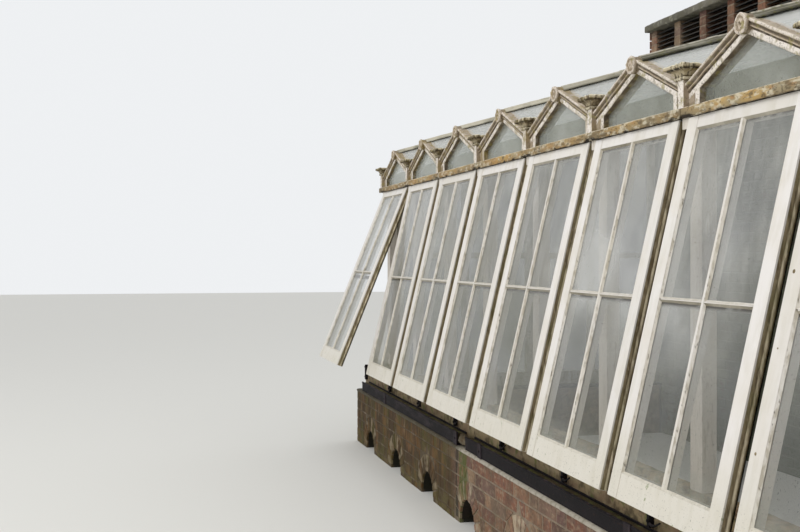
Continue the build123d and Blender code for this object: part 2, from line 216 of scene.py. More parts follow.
# Sill: thick softwood boards, oiled once and now olive-brown, with moss along the top.
weatheredSillBoard = makeFinish("weatheredSillBoard", ["#6F5E44", "#8E7B5A", "#A8946E"], 0.85, [
    coat("#A08F70", 0.03, 0.4, 0.1, 0.6, stretch=(12, 1, 1)),
    coat("#7A5C48", 0.08, 0.30, 0.08, 0.6, stretch=(2, 1, 1)),
    coat("#453922", 0.05, 0.34, 0.07, 0.75),
    coat("#5C6428", 0.07, 0.22, 0.06, 0.8),
], grain=[(0.005, 0.0020, (14, 1, 1)), (0.05, 0.0030)])

# Gutter and straps: cast iron under old bituminous black, matt with age, with a faint
# purple bloom and rust where it has lifted. Brown silt and moss lie in the gutter.
blackedCastIron = makeFinish("blackedCastIron", ["#0D0B0C", "#120F11", "#1B1719", "#3D3539"], 0.82, [
    coat("#221C20", 0.06, 0.35, 0.1, 0.5, stretch=(3, 1, 1)),
    coat("#463E41", 0.06, 0.34, 0.1, 0.45, stretch=(3, 1, 1), spans=[(0, -0.20, -1.00)]),
    coat("#3E2A20", 0.016, 0.12, 0.04, 0.8, rough=0.9),
    coat("#5E5458", 0.05, 0.5, 0.1, 0.5, up=(0.6, 0.95)),
    coat("#4B402C", marks=["bare"], rough=0.95),
    coat("#5D6130", 0.05, 0.36, 0.08, 0.8, marks=["bare"]),
], grain=[(0.004, 0.0010), (0.03, 0.0015)], gloss=0.2)

# Ridge rolls and their wings: milled sheet lead, dressed down by hand. A dull grey-beige
# patina, streaked pale; the roll is toned light as a painted highlight, and the strips beside
# it dark as grime and painted shade.
dressedLead = makeFinish("dressedLead", ["#3D3A24", "#88826F", "#B3AD9D"], 0.65, [
    coat("#B9B5A6", 0.05, 0.36, 0.1, 0.3, stretch=(1, 4, 1)),
    coat("#5D5A4C", 0.03, 0.26, 0.07, 0.5, rough=0.85),
    coat("#6A6838", 0.02, 0.22, 0.05, 0.6, rough=0.9),
    coat("#CBC4B0", 0.10, 0.80, 0.12, 0.8, spans=[(0, 0.90, 0.10)]),
], grain=[(0.03, 0.0030), (0.008, 0.0008)], metal=0.25)

# Where weather and painted shade keep to, each as an axis, the place where it starts and where it is
# full: the front, its damp left end, darkened further there as painted shade, the streak below
# the gutter's gap, and the top of the back wall
frontFace = (1, 0.0, -0.15)
leftEnd = [(0, -0.60, -0.90), frontFace]
darkEnd = [(0, -0.55, -0.75), frontFace]
wetStreak = [(0, -0.590, -0.560), (0, -0.400, -0.440), frontFace]
highOnWall = [(2, 2.72, 2.90)]

# Brickwork: hand-made red stocks in lime mortar. Pinkish brown to purple with a sandy face,
# olive with algae low down and to the left, near-black at the left end as damp and painted shade,
# and one wet green streak below the gutter's gap.
brickColours = ["#5C463D", "#774E3D", "#845A46", "#8A664E", "#937B60", "#6A4D47"]
stockBrick = makeFinish("stockBrick", brickColours, 0.9, [
    coat("#6A564C", 0.03, 0.36, 0.08, 0.6),
    coat("#9D8970", 0.028, 0.30, 0.08, 0.6, stretch=(1.6, 1, 1)),
    coat("#4E4034", 0.018, 0.22, 0.06, 0.65),
    coat("#B3A48C", 0.05, 0.58, 0.12, 0.85, marks=["joint"]),
    coat("#4B4234", 0.16, 0.36, 0.12, 0.55, stretch=(1, 1, 1.4)),
    # dark over the left end: damp, and painted shade
    coat("#37290F", 0.20, 1.0, 0.14, 0.9, stretch=(1.6, 1, 1), spans=darkEnd),
    coat("#4F4A1E", 0.06, 0.38, 0.08, 0.65, stretch=(2, 1, 5), spans=leftEnd),
    coat("#684A27", 0.05, 0.36, 0.07, 0.7, stretch=(2, 1, 4), spans=leftEnd),
    coat("#857056", 0.04, 0.14, 0.06, 0.6, stretch=(2, 1, 5), spans=leftEnd + [(2, 0.05, 0.25)]),
    coat("#8F8068", 0.06, 0.50, 0.10, 0.75, marks=["joint"], spans=leftEnd),
    coat("#5F5730", 0.07, 0.5, 0.1, 0.8, spans=[(2, 0.16, 0.02)]),
    coat("#4B5420", 0.025, 0.66, 0.08, 0.85, stretch=(1, 1, 4), spans=wetStreak + [(2, 0.10, 0.20)]),
    coat("#25241A", 0.03, 0.6, 0.1, 0.8, stretch=(1, 1, 6),
         spans=[(0, -0.650, -0.625), (0, -0.575, -0.595), frontFace]),
    # near-black on the skin inside each arch: painted shade
    coat("#15150D", marks=["bare"], amount=0.93),
], grain=[(0.006, 0.0022), (0.025, 0.0022)], gloss=0.3)

# Bedding between the bricks: lime and sharp sand, pale buff, rubbed back and gone grimy.
limeMortar = makeFinish("limeMortar", ["#8D7C68"], 0.95, [
    coat("#77695A", 0.03, 0.5, 0.1, 0.8),
    coat("#5E5736", 0.09, 0.4, 0.1, 0.8, spans=[(2, 0.45, 0.05)]),
    # dark over the left end: damp, and painted shade
    coat("#463820", 0.10, 0.85, 0.1, 0.9, spans=darkEnd),
    coat("#4B5420", spans=wetStreak, amount=0.8),
    coat("#5A5B4C", spans=[(1, 2.40, 2.42), (1, 2.46, 2.44), (2, 2.90, 2.72)], amount=0.95),
    # near-black on the wall's core inside the arch openings: painted shade
    coat("#15150D",
         spans=[(1, -0.190, -0.170), (1, 0.15, 0.14), (0, -3.40, -3.38), (0, 3.40, 3.38)], amount=0.95),
], grain=[(0.003, 0.0015)])

# Inside of the back wall: the same brickwork under old limewash, damp, chalky and green.
limewashedBrick = makeFinish("limewashedBrick", ["#595B4C", "#666858", "#757564"], 0.95, [
    coat("#5F4A3C", 0.05, 0.2, 0.04, 0.8),
    coat("#3F4632", 0.30, 0.5, 0.15, 0.8, stretch=(1, 1, 3)),
    coat("#7D5E4E", spans=highOnWall, amount=0.9),
    coat("#5B5242", 0.09, 0.5, 0.12, 0.7, spans=highOnWall),
], grain=[(0.006, 0.0015)])

# Capping of the dwarf wall: trowelled cement, pale grey and gritty, stained at its edge, and
# darkened towards its left end as painted shade.
trowelledCement = makeFinish("trowelledCement", ["#ABA291", "#B5AE9F", "#5C4B35"], 0.93, [
    coat("#857C69", 0.03, 0.4, 0.08, 0.6),
    # dark towards the left end: painted shade
    coat("#3F361F", 0.06, 1.2, 0.1, 0.92, spans=[(0, -0.50, -0.64)]),
], grain=[(0.004, 0.0020), (0.03, 0.0015)])

# Eave coping and louvre sill: sawn sandstone, grey-green with algae and grey lichen discs.
algaeSandstone = makeFinish("algaeSandstone", ["#625E52", "#777266", "#958D78"], 0.9, [
    coat("#5E5A44", 0.07, 0.45, 0.1, 0.6, stretch=(2, 1, 1)),
    coat("#9C9A88", 0.05, 0.18, 0.06, 0.6),
    coat("#46443A", 0.012, 0.14, 0.05, 0.45),
], grain=[(0.006, 0.0025), (0.05, 0.0030)])

# Louvre boards: rough-sawn softwood, tarred, nearly black, grey on the upward slopes as dust
# and as a painted highlight.
tarredBoard = makeFinish("tarredBoard", ["#16130F", "#221E18", "#2D2820"], 0.7, [
    # grey on upward slopes: dust, and a painted highlight
    coat("#4A463C", 0.03, 0.36, 0.1, stretch=(8, 1, 1), up=(0.1, 0.8)),
    coat("#3A3A28", 0.05, 0.24, 0.06, 0.6),
], grain=[(0.004, 0.0015, (12, 1, 1))])

# Roof timbers and glazed ends: lead paint, chalked to grey-cream, with damp stains.
chalkedPaint = makeFinish("chalkedPaint", ["#BDB7A6", "#CFCABB"], 0.7, [
    coat("#8F8A72", 0.05, 0.36, 0.1, 0.7, stretch=(1, 1, 4)),
    coat("#7A6B50", 0.015, 0.2, 0.05, 0.7, rough=0.9),
], grain=[(0.004, 0.0008, (1, 1, 10))])
print("opaque finishes made")


# Shapes
def addObject(name, data):
    item = bpy.data.objects.new(name, data)
    bpy.context.scene.collection.objects.link(item)
    return item


class Stock:
    # points and faces of one piece, with a tone, a bare wood and a joint number for each face
    def __init__(self):
        self.points = []
        self.faces = []
        self.marks = []


def loft(stock, rings, tones=None, bands=None, **marks):
    # a closed skin through rings of points, capped at both ends. Tones go round the ring,
    # bands go along from ring to ring.
    count = len(rings[0])
    last = len(rings) - 1
    start = len(stock.points)
    stock.points.extend(Vector(p) for ring in rings for p in ring)
    base = {"tone": 0.5, "bare": 0.0, "joint": 0.0, **marks}
    stock.faces.append([start + i for i in range(count - 1, -1, -1)])
    stock.faces.append([start + last * count + i for i in range(count)])
    shades = [base["tone"]] * 2
    for row in range(last):
        for i in range(count):
            near, far = start + row * count, start + (row + 1) * count
            following = (i + 1) % count
            stock.faces.append([near + i, near + following, far + following, far + i])
            shades.append(tones[i] if tones else bands[row] if bands else base["tone"])
    stock.marks.extend((shade, base["bare"], base["joint"]) for shade in shades)


def bar(stock, outline, place, stations, tones=None, **marks):
    # one outline carried along its stations, as a moulding or a casting is
    loft(stock, [[place(a, b, t) for a, b in outline] for t in stations], tones, **marks)


def moulding(stock, section, place, stations, **marks):
    # a bar whose section gives the tone of the strip after each corner
    outline = [(a, b) for a, b, tone in section]
    bar(stock, outline, place, stations, [tone for a, b, tone in section], **marks)


def tablet(stock, outline, place, back, front, chamfer=0.0, **marks):
    # a flat piece whose front edge is eased, such as a brick's face or a plank
    middle = Vector((sum(a for a, b in outline), sum(b for a, b in outline))) / len(outline)
    eased = []
    for a, b in outline:
        inward = middle - Vector((a, b))
        eased.append(Vector((a, b)) + inward.normalized() * chamfer * math.sqrt(2))
    step = chamfer if front > back else -chamfer
    rings = [[place(a, b, back) for a, b in outline], [place(a, b, front - step) for a, b in outline]]
    if chamfer:
        rings.append([place(a, b, front) for a, b in eased])
    loft(stock, rings, **marks)


def lengthwise(a, b, t):
    # an outline in depth and height, carried along the range
    return (t, a, b)


def upright(a, b, t):
    # an outline as it is seen from the front, at the depth t
    return (a, t, b)


def oblong(a0, a1, b0, b1):
    return [(a0, b0), (a1, b0), (a1, b1), (a0, b1)]


def steps(start, end, spacing):
    count = max(1, round(abs(end - start) / spacing))
    return [start + (end - start) * n / count for n in range(count + 1)]


def arc(middle, radius, start, end, count):
    angles = [math.radians(start + (end - start) * n / count) for n in range(count + 1)]
    return [(middle[0] + radius * math.cos(a), middle[1] + radius * math.sin(a)) for a in angles]


def turns(count):
    return [2 * math.pi * n / count for n in range(count)]


def boltHead(stock, middle, face, radius, shoulder, crown, tone):
    # a hexagon head on an upright face, its corners rounded off
    rings = [[(x, face + out, z) for x, z in arc(middle, radius * wide, 0, 300, 5)]
             for out, wide in ((0.002, 1.0), (-shoulder, 1.0), (-crown, 0.7))]
    loft(stock, rings, tone=tone)


def reshape(stock, change, first=0):
    # change says where each point goes; the points before the first stay
    stock.points[first:] = [change(point) for point in stock.points[first:]]


def roughen(stock, amount, size, first=0):
    # weathering moves every point a little, over patches of this size, and points that meet
    # move together
    reshape(stock, lambda point: point + noise.noise_vector(point / size) * amount, first)


def keepAbove(stock, height):
    reshape(stock, lambda point: Vector((point.x, point.y, max(point.z, height))))


def makePiece(name, stock, finish, slot, *nodes, smooth=32):
    mesh = bpy.data.meshes.new(name)
    mesh.from_pydata(stock.points, [], stock.faces)
    work = bmesh.new()
    work.from_mesh(mesh)
    bmesh.ops.recalc_face_normals(work, faces=work.faces)
    work.to_mesh(mesh)
    work.free()
    for index, mark in enumerate(("tone", "bare", "joint")):
        layer = mesh.attributes.new(mark, "FLOAT", "FACE")
        layer.data.foreach_set("value", [marks[index] for marks in stock.marks])
    mesh.materials.append(finish)
    mesh.shade_smooth()
    mesh.set_sharp_from_angle(angle=math.radians(smooth))
    piece = addObject(name, mesh)
    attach(piece, "root")
    if nodes:
        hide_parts(*nodes)


def paintNode(name, finish):
    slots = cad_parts[name].data.materials
    slots.clear()
    slots.append(finish)


# Brickwork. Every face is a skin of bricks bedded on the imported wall, which shows as mortar.
brickwork = {
    "stretcher": 0.215, "header": 0.1025, "course": 0.075, "joint": 0.010,
    "proud": 0.003, "bed": 0.012, "ease": 0.0025, "smallestBat": 0.25,
    "archRadius": 0.140, "archSpring": 0.020, "ringBricks": 11, "ringRows": 3, "ringDepth": 0.105,
    "ringGap": 0.006, "limed": 0.4, "shadowSkin": (0.002, 0.004), "shadowFrom": 0.012,
}


def courseCuts(width, shift):
    # one Flemish course, header and stretcher by turns, cut to the width of the wall
    cuts = []
    along = -shift
    long = False
    while along < width:
        size = brickwork["stretcher"] if long else brickwork["header"]
        left, right = max(along, 0), min(along + size, width)
        if right - left > brickwork["header"] * brickwork["smallestBat"]:
            cuts.append((left, right))
        along += size + brickwork["joint"]
        long = not long
    return cuts


def onFace(x, y, outX=0, outY=0):
    # measured along a wall from its corner, on the face that looks towards outX, outY
    return lambda a, b, d: (x + a * abs(outY) + d * outX, y + a * abs(outX) + d * outY, b)


def wholeBrick(left, right, low, high):
    return [oblong(left, right, low, high)]


def layBricks(stock, width, bottom, top, place, seed, clip=wholeBrick):
    # courses are set out from the top down; clip cuts a brick's ends round an opening
    draw = random.Random(seed)
    pair = brickwork["stretcher"] + brickwork["header"] + 2 * brickwork["joint"]
    high = top
    course = 0
    while high - bottom > brickwork["joint"]:
        low = max(high - brickwork["course"] + brickwork["joint"], bottom)
        shift = pair / 2 * (course % 2)
        for left, right in courseCuts(width, shift):
            for outline in clip(left, right, low, high):
                proud = brickwork["proud"] * draw.uniform(0.55, 1.0)
                tablet(stock, outline, place, -brickwork["bed"], proud, brickwork["ease"],
                       tone=draw.random())
        high -= brickwork["course"]
        course += 1


def clipAtArches(left, right, low, high):
    # a brick beside an arch ends on the slant of the ring
    reach = brickwork["archRadius"] + brickwork["ringDepth"] + brickwork["joint"]
    for centre in bayCentres:
        centre -= wallLow.x
        rises = [max(z - brickwork["archSpring"], 0) for z in (low, high)]
        halfLow, halfHigh = [math.sqrt(max(reach ** 2 - rise ** 2, 0)) for rise in rises]
        if right < centre - reach or left > centre + reach or halfLow == 0:
            continue
        cuts = []
        if left < centre - halfLow:
            ends = [min(right, centre - half) for half in (halfLow, halfHigh)]
            cuts.append([(left, low), (ends[0], low), (ends[1], high), (left, high)])
        if right > centre + halfLow:
            ends = [max(left, centre + half) for half in (halfLow, halfHigh)]
            cuts.append([(ends[0], low), (right, low), (right, high), (ends[1], high)])
        return cuts
    return wholeBrick(left, right, low, high)


def layRing(stock, centre, draw):
    # the arch ring: tapered bricks, some limed, through the wall, with a near-black skin on the inside as
    # painted shade
    pieces, radius = brickwork["ringBricks"], brickwork["archRadius"]
    depth = (wallHigh.y - wallLow.y + 2 * brickwork["proud"]) / brickwork["ringRows"]
    half = brickwork["joint"] / 2
    inner, outer = radius - 0.001, radius + brickwork["ringDepth"]
    shadowInner, shadowOuter = radius - brickwork["shadowSkin"][0], radius + brickwork["shadowSkin"][1]

    def polar(corners):
        spring = brickwork["archSpring"]
        return [(centre + out * math.cos(a), spring + out * math.sin(a)) for out, a in corners]

    for n in range(pieces):
        start, end = math.pi * n / pieces, math.pi * (n + 1) / pieces
        outline = polar([(inner, start + half / inner), (outer, start + half / outer),
                         (outer, end - half / outer), (inner, end - half / inner)])
        for row in range(brickwork["ringRows"]):
            front = wallLow.y - brickwork["proud"] * draw.uniform(0.7, 1.3) + depth * row
            tablet(stock, outline, upright, front + depth - brickwork["ringGap"], front,
                   brickwork["ease"], tone=draw.random(), joint=float(draw.random() < brickwork["limed"]))
        # a thin near-black skin over the intrados: painted shade inside the arch
        shadowOutline = polar([(shadowInner, start), (shadowInner, end), (shadowOuter, end), (shadowOuter, start)])
        tablet(stock, shadowOutline, upright, wallHigh.y - 0.004, wallLow.y + brickwork["shadowFrom"], bare=1.0)


def frontBrickwork():
    stock = Stock()
    size = (wallHigh.x - wallLow.x, wallLow.z, wallHigh.z)
    layBricks(stock, *size, onFace(wallLow.x, wallLow.y, outY=-1), 3, clipAtArches)
    draw = random.Random(8)
    for centre in bayCentres:
        layRing(stock, centre, draw)
    layBricks(stock, *size, onFace(wallLow.x, wallHigh.y, outY=1), 4, clipAtArches)
    makePiece("front_wall_bricks", stock, stockBrick, "wall_brick")
    paintNode("front_wall", limeMortar)


def sideBrickwork():
    # dwarf end walls, and the ends of the front wall
    for side, node in ((-1, "end_wall_left"), (1, "end_wall_right")):
        low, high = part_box(node)
        face = low.x if side < 0 else high.x
        stock = Stock()
        layBricks(stock, high.y - wallLow.y, low.z, high.z, onFace(face, wallLow.y, outX=side), 11 + side)
        makePiece(node + "_bricks", stock, stockBrick, "wall_brick")
        paintNode(node, limeMortar)


def backBrickwork():
    low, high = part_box("back_wall")
    width = high.x - low.x
    stock = Stock()
    layBricks(stock, width, low.z, high.z, onFace(low.x, high.y, outY=1), 21)
    for side, face in ((-1, low.x), (1, high.x)):
        layBricks(stock, high.y - low.y, low.z, high.z, onFace(face, low.y, outX=side), 30 + side)
    makePiece("back_wall_bricks", stock, stockBrick, "wall_brick")
    inside = Stock()
    layBricks(inside, width, low.z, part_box("louvre_sill")[0].z, onFace(low.x, low.y, outY=-1), 41)
    makePiece("back_wall_inner_bricks", inside, limewashedBrick, "wall_brick")
    paintNode("back_wall", limeMortar)


frontBrickwork()
sideBrickwork()
backBrickwork()
print("brickwork laid")

# Louvred band: brick piers, tarred boards, sandstone sill and eave coping
louvres = {
    "bedding": 0.004, "limed": 0.3, "boards": 11, "boardThickness": 0.008, "boardDrop": 0.026,
    "warp": 0.003, "boardSpacing": 0.05, "slabs": 9, "slabSpacing": 0.03, "openJoint": 0.004,
    "wear": (0.0035, 0.05),
}


def louvrePiers():
    low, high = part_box("louvre_piers")
    pitch = bayPitch / 2
    half = high.x - bayLines[-1]
    bedding, joint = louvres["bedding"], brickwork["joint"]
    draw = random.Random(51)
    bricks, beds = Stock(), Stock()
    # a pier at every bay line and at the middle of every bay
    for n in range(2 * sashCount + 1):
        centre = bayLines[0] + pitch * n
        bed = oblong(centre - half + bedding, centre + half - bedding, low.z, high.z)
        tablet(beds, bed, upright, high.y, low.y + bedding)
        foot = low.z
        lime = 0.3 if draw.random() < louvres["limed"] else 0.0
        while foot < high.z - joint:
            head = min(foot + brickwork["course"] - joint, high.z)
            wide = half * draw.uniform(0.97, 1.0)
            tablet(bricks, oblong(centre - wide, centre + wide, foot, head), upright, high.y,
                   low.y + draw.uniform(0, 0.003), brickwork["ease"], tone=draw.random(), joint=lime)
            foot += brickwork["course"]
    makePiece("louvre_pier_bricks", bricks, stockBrick, "wall_brick", "louvre_piers")
    makePiece("louvre_pier_mortar", beds, limeMortar, "wall_brick")


def louvreBoards():
    low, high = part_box("louvre_boards")
    pierLow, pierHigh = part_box("louvre_piers")
    band = pierHigh.z - pierLow.z
    half = pierHigh.x - bayLines[-1]
    pitch = bayPitch / 2
    stock = Stock()
    draw = random.Random(61)
    thick, drop, warp = louvres["boardThickness"], louvres["boardDrop"], louvres["warp"]
    outline = [(0, 0.002), (0, thick), (0.003, thick + 0.002), (1, thick + drop), (1, drop)]
    for n in range(2 * sashCount):
        left = bayLines[0] + pitch * n + half
        right = left + pitch - 2 * half
        for row in range(louvres["boards"]):
            foot = pierLow.z + band / louvres["boards"] * row
            sag, tip = draw.uniform(0, warp), draw.uniform(-warp, warp)

            def place(a, b, t, foot=foot, sag=sag, tip=tip, left=left, right=right):
                bow = math.sin(math.pi * (t - left) / (right - left)) * sag
                return (t, low.y + a * (high.y - low.y), foot + b + bow + tip * a * (t - left) * 2)
            bar(stock, outline, place, steps(left, right, louvres["boardSpacing"]), tone=draw.random())
    makePiece("louvre_boards_tarred", stock, tarredBoard, "louvre_timber", "louvre_boards")


def stoneCourse(name, node, ease, tones):
    # a course of sawn slabs with open joints, worn along the front
    low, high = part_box(node)
    stock = Stock()
    length, gap = (high.x - low.x) / louvres["slabs"], louvres["openJoint"]
    outline = [
        (low.y, low.z + ease / 2), (low.y, high.z - ease), (low.y + ease, high.z),
        (high.y - ease, high.z), (high.y, high.z - ease), (high.y, low.z), (low.y + ease / 2, low.z),
    ]
    for n in range(louvres["slabs"]):
        start = low.x + length * n + gap / 2
        run = steps(start, start + length - gap, louvres["slabSpacing"])
        bar(stock, outline, lengthwise, run, tone=tones[n % 3])
    roughen(stock, *louvres["wear"])
    makePiece(name, stock, algaeSandstone, "wall_cement", node, smooth=45)


louvrePiers()
louvreBoards()
stoneCourse("eave_slabs", "eave_coping", 0.010, (0.0, 0.35, 0.15))
stoneCourse("louvre_sill_slabs", "louvre_sill", 0.006, (0.8, 1.0, 0.7))
print("louvred band built")


# Sashes, each a frame of planks with a rebate, hand-run putty and bare grooved edges
sash = {
    "length": 1.430, "thickness": 0.045, "stile": 0.080, "topRail": 0.055, "footRail": 0.102, "bar": 0.030,
    "transom": 0.020, "rebate": 0.008, "rebateDepth": 0.014, "glassFace": 0.010, "paintedEdge": 0.0065,
    "edgeRecess": 0.005, "ease": 0.0016, "shoulderGap": 0.0006, "beadRadius": 0.0085, "beadAt": 0.0300,
    "screwInset": 0.027, "screwsAt": ((0.578, 0.0065), (0.810, 0.0030), (1.125, 0.0050)),
    "screwProud": 0.0012, "spacing": 0.04, "puttySpacing": 0.05, "puttyWander": (-0.0006, 0.0008),
    "barRecess": 0.004, "transomRecess": 0.006,
}


def outset(corners, distance):
    # the same polygon with every side moved out
    moved = []
    for index, corner in enumerate(corners):
        before, after = corners[index - 1], corners[(index + 1) % len(corners)]
        ahead, on = (corner - before).normalized(), (after - corner).normalized()
        first, second = Vector((ahead.y, -ahead.x)), Vector((on.y, -on.x))
        moved.append(corner + (first + second) * distance / (1 + first.dot(second)))
    return moved


def puttyLight(stock, light, place, face, glass, draw):
    # putty knifed down from the rebate's edge to the sight line, a little unevenly
    outer = outset(light, sash["rebate"])
    for index in range(len(light)):
        following = (index + 1) % len(light)
        length = (light[following] - light[index]).length
        rings = []
        inward = (light[index - 1] - light[index]).normalized()
        for t in steps(0, 1, sash["puttySpacing"] / length):
            edge = outer[index].lerp(outer[following], t)
            sight = light[index].lerp(light[following], t)
            sight = sight + inward * draw.uniform(*sash["puttyWander"]) * (0 < t < 1)
            rings.append([place(*edge, face), place(*edge, glass), place(*sight, glass)])
        # the putty along the top is the darkest, as grime and as painted shadow under the rail and
        # transom, and the sunward side flakes most
        tone = draw.uniform(0.0, 0.12) if index == 0 else draw.uniform(0.34, 0.58)
        loft(stock, rings, tone=tone, joint=1.0 if index == 3 else 0.45)


def sashPlace(number):
    # across, down and into the sash from its hinge line, at the tilt it hangs at
    low, high = sashBoxes[number]
    tilt = math.asin(-low.y / sash["length"])
    across, down = Vector((1, 0, 0)), Vector((0, -math.sin(tilt), -math.cos(tilt)))
    inward = Vector((0, math.cos(tilt), -math.sin(tilt)))
    hinge = Vector((bayCentres[number], 0, high.z))
    return lambda u, v, w: hinge + across * u + down * v + inward * w


def grooveEdge(stock, place, half, side):
    # the bare edge of a stile: a weather groove beside a rounded bead, toned pale along its crown
    # as a painted highlight
    base, radius = half - sash["edgeRecess"], sash["beadRadius"]
    shape = [
        (0.0065, base, 0.2), (0.0065, base + 0.0015, 0.35), (0.0105, base + 0.0020, 0.3),
        (0.0115, half - 0.0015, 0.10), (0.0190, half - 0.0015, 0.0), (0.0205, base + 0.0005, 0.1),
    ]
    # the crown's tones peak at 1.0: a painted highlight along the bead
    crown = arc((sash["beadAt"], half - radius), radius, 155, 25, 6)
    shape += [(w, u, tone) for (w, u), tone in zip(crown, (0.35, 0.8, 1.0, 0.95, 0.6, 0.2, 0.0))]
    shape += [(0.0400, base, 0.0), (0.0450, base, 0.0)]
    shape += [(0.0450, base - 0.002, 0.0), (0.0065, base - 0.002, 0.0)]
    run = steps(0.002, sash["length"] - 0.002, sash["spacing"])
    moulding(stock, shape, lambda a, b, t: place(side * b, t, a), run, bare=1.0)


def sashFrame(number):
    low, high = sashBoxes[number]
    place = sashPlace(number)
    draw = random.Random(100 + number)
    stock = Stock()
    half = (high.x - low.x) / 2
    outer, sight = half - sash["edgeRecess"], half - sash["stile"]
    rebate, deep, thick, long = sash["rebate"], sash["rebateDepth"], sash["thickness"], sash["length"]
    top, foot = sash["topRail"], long - sash["footRail"]
    middle = (top + foot) / 2
    barHalf, transomHalf = sash["bar"] / 2, sash["transom"] / 2

    def plank(u0, u1, v0, v1, front, back, tone):
        tablet(stock, oblong(u0, u1, v0, v1), place, back, front, sash["ease"], tone=tone)

    for side in (-1, 1):
        tone = draw.uniform(0.7, 1.0)
        inner = side * (sight + rebate)
        plank(*sorted((inner, side * half)), 0, long, 0, sash["paintedEdge"], tone)
        plank(*sorted((inner, side * outer)), 0, long, sash["paintedEdge"], deep, tone)
        plank(*sorted((side * sight, side * outer)), 0, long, deep, thick, tone)
        grooveEdge(stock, place, half, side)
    for v0, v1, face0, face1 in ((0, top, 0, top - rebate), (foot, long, foot + rebate, long)):
        tone = draw.uniform(0.7, 1.0)
        gap = sash["shoulderGap"]
        plank(-sight - rebate + gap, sight + rebate - gap, face0, face1, gap, deep, tone)
        plank(-sight, sight, v0, v1, deep, thick, tone * 0.8)
    nose = barHalf - rebate
    plank(-nose, nose, top - rebate, foot + rebate, 0.001, deep, draw.uniform(0.5, 0.75))
    plank(-barHalf, barHalf, top, foot, deep, thick - sash["barRecess"], 0.65)
    noseHalf = transomHalf - rebate
    lights = []
    for side in (-1, 1):
        inside, outside = sorted((side * barHalf, side * sight))
        plank(inside - rebate * (side > 0), outside + rebate * (side < 0),
              middle - noseHalf, middle + noseHalf, 0.002, deep, draw.uniform(0.8, 1.0))
        plank(inside, outside, middle - transomHalf, middle + transomHalf,
              deep, thick - sash["transomRecess"], 0.65)
        for v0, v1 in ((top, middle - transomHalf), (middle + transomHalf, foot)):
            lights.append([Vector(c) for c in oblong(inside, outside, v0, v1)])
    for light in lights:
        puttyLight(stock, light, place, 0.001, sash["glassFace"], draw)
    if number == sashCount - 1:
        # three screws in the near stile have rusted through the paint
        for down, size in sash["screwsAt"]:
            outline = arc((sash["screwInset"] - half, down), size, 0, 324, 9)
            tablet(stock, outline, place, 0.002, -sash["screwProud"], 0.0005, tone=0.0, bare=1.0)
    makePiece(f"sash_{number + 1}_joinery", stock, glossOnSoftwood, "sash_paint",
              f"sash_frame_{number + 1}")


for number in range(sashCount):
    sashFrame(number)
print("sashes joined and puttied")

# Gables: moulded rakes mitred at the apex, short stiles, and a turned boss
gable = {
    "rake": 23, "lap": 0.005, "drop": 0.059, "mouldingDepth": 0.016, "depth": 0.050, "light": 0.321,
    "glassFace": 0.010, "planeProud": 0.012, "groove": 0.048, "stileHead": 0.034, "stripHalf": 0.022,
    "roofAngle": 15.6, "spacing": 0.03, "wear": (0.0018, 0.03), "bossSides": 40, "bossSwell": 1.05,
    "bossDrop": 0.012, "bossProud": 0.004, "bossWear": (0.0038, 0.015),
}
gableLow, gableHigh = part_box("gable_frames")
rakeSlope = math.tan(math.radians(gable["rake"]))
roofRise = math.tan(math.radians(gable["roofAngle"]))
apexHeight = gableHigh.z - gable["lap"]
gableFace = gableLow.y + gable["mouldingDepth"]


def gableJoinery():
    stock = Stock()
    back, glass = gableFace + gable["depth"], gableFace + gable["glassFace"]
    plane, lap, drop = gableFace - gable["planeProud"], gable["lap"], gable["drop"]
    front = plane - gable["mouldingDepth"]
    sight, reach = gable["light"], bayPitch / 2 - gable["stripHalf"]
    # depth and plumb height of each corner of the moulding, with the tone of the strip after it;
    # the groove and the reveal by the glass are toned dark as painted shade
    rakeSection = [
        (back, gable["depth"] * roofRise * 0.4, 0.55), (gableFace, 0.001, 0.45),
        (gableFace - 0.006, lap, 0.60), (front + 0.003, lap, 0.85), (front, lap - 0.003, 0.9),
        (front, -0.004, 0.75), (front + 0.002, -0.007, 0.35), (front + 0.007, -0.010, 0.15),
        (front + 0.010, -0.018, 0.35), (front + 0.009, -0.021, 0.65),
        (front + 0.009, -0.025, 0.4), (front + 0.013, -0.027, 0.05), (plane + 0.001, -0.032, 0.1),
        (plane, -0.035, 1.0), (plane, drop * -0.93, 0.85), (plane + 0.002, -drop + 0.001, 0.15),
        (glass, -drop, 0.3), (back, -drop, 0.3),
    ]
    groove = reach - gable["groove"]
    # the stile's groove and its reveal by the glass are toned dark as painted shade
    stileSection = [
        (reach, back, 0.3), (reach, plane, 0.52), (groove + 0.004, plane, 0.2),
        (groove + 0.002, plane + 0.004, 0.1), (groove, plane, 1.0), (sight + 0.002, plane, 0.1),
        (sight, plane + 0.002, 0.1), (sight, glass, 0.15), (sight, back, 0.2),
    ]
    rise = apexHeight - gable["stileHead"] - railHigh.z
    fillet = [(glass - 0.014, 0.0), (glass - 0.012, 0.004), (glass, 0.009), (glass, 0.0)]
    for centre in bayCentres:
        for side in (-1, 1):
            moulding(stock, rakeSection,
                     lambda a, b, t: (centre + side * t, a, apexHeight - t * rakeSlope + b),
                     steps(0, reach, gable["spacing"]))
            moulding(stock, stileSection,
                     lambda a, b, t: (centre + side * a, b, railHigh.z + t * (rise - a * rakeSlope)),
                     steps(0, 1, 0.2))
        bar(stock, fillet, lambda a, b, t: (t, a, railHigh.z + b),
            steps(centre - sight, centre + sight, 0.04), tone=0.9)
    roughen(stock, *gable["wear"])
    makePiece("gable_joinery", stock, perishedPaint, "weathered_paint", "gable_frames", smooth=40)


